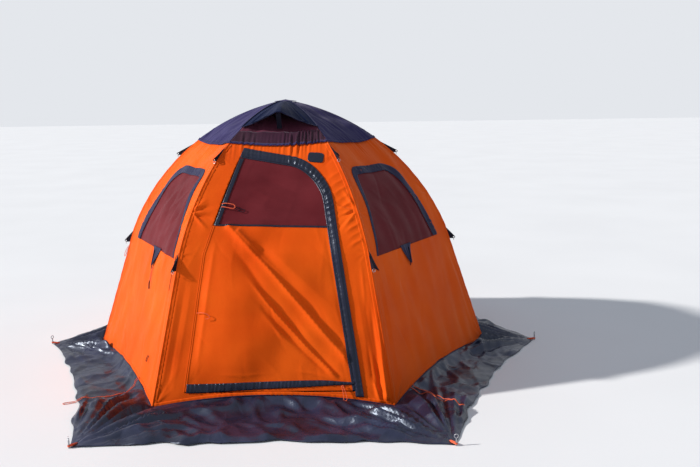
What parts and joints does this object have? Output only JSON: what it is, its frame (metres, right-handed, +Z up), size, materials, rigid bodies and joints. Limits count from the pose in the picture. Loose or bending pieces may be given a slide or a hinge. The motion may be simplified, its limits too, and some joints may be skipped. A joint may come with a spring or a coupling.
{
  "type": "ice fishing tent",
  "caption": "Six-sided pop-up ice fishing tent with curved ribs, window walls, a hooded roof vent, a hinged zip door and a snow skirt pegged at its tips.",
  "frame": {"origin": "middle of the floor opening, at ground level", "axes": "+Z up, the door wall faces -Y, +X to the right of someone who looks at the door from outside"},
  "size_m": [3.0506, 2.9534, 1.5047],
  "materials": {
    "wall_cloth": "coated nylon, slight sheen",
    "cap_cloth": "coated nylon, slight sheen",
    "skirt_cloth": "glossy coated cloth",
    "dark_band": "puckered tape",
    "tape_cloth": "woven tape",
    "window_sheet": "tinted sheet with soft gloss",
    "vent_net": "fine net",
    "webbing": "woven webbing",
    "orange_cord": "braided cord",
    "rib_rod": "smooth rod",
    "leg_tube": "drawn tube",
    "socket_plastic": "moulded",
    "foot_rubber": "matt",
    "peg_steel": "plated wire"
  },
  "bodies": {
    "tent": {"roof_hub": "socket_plastic", "upper_ribs": "rib_rod", "elbow_forks": "socket_plastic", "elbow_tongues": "socket_plastic", "lower_legs": "leg_tube", "leg_feet": "foot_rubber", "wall_left_front": "wall_cloth", "wall_left_back": "wall_cloth", "wall_back": "wall_cloth", "wall_right_back": "wall_cloth", "wall_right_front": "wall_cloth", "front_jamb_left": "wall_cloth", "front_jamb_right": "wall_cloth", "front_header": "wall_cloth", "front_sill": "wall_cloth", "header_patch": "dark_band", "window_left_front": "window_sheet", "window_left_back": "window_sheet", "window_back": "window_sheet", "window_right_back": "window_sheet", "window_right_front": "window_sheet", "window_tapes": "tape_cloth", "window_tabs": "tape_cloth", "doorway_flap": "dark_band", "cap_left_front": "cap_cloth", "cap_left_back": "cap_cloth", "cap_back": "cap_cloth", "cap_right_back": "cap_cloth", "cap_right_front": "cap_cloth", "cap_front_strip": "cap_cloth", "vent_mesh": "vent_net", "vent_hood": "cap_cloth", "hood_stay": "webbing", "peak_cover": "cap_cloth", "skirt_front": "skirt_cloth", "skirt_left_front": "skirt_cloth", "skirt_left_back": "skirt_cloth", "skirt_back": "skirt_cloth", "skirt_right_back": "skirt_cloth", "skirt_right_front": "skirt_cloth", "skirt_pegs": "peg_steel", "guy_tabs": "webbing", "guy_rings": "peg_steel", "side_cord_left": "orange_cord", "side_cord_right": "orange_cord"},
    "door": {"door_panel": "wall_cloth", "door_window": "window_sheet", "door_band_low": "dark_band"}
  },
  "joints": [
    {"name": "door_hinge", "type": "hinge", "parent": "tent", "child": "door", "pos_m": [-0.43795, -1.01836, 0.072], "axis": [-0.1221, -0.2763, -0.9533], "range_deg": [0, 120]}
  ]
}
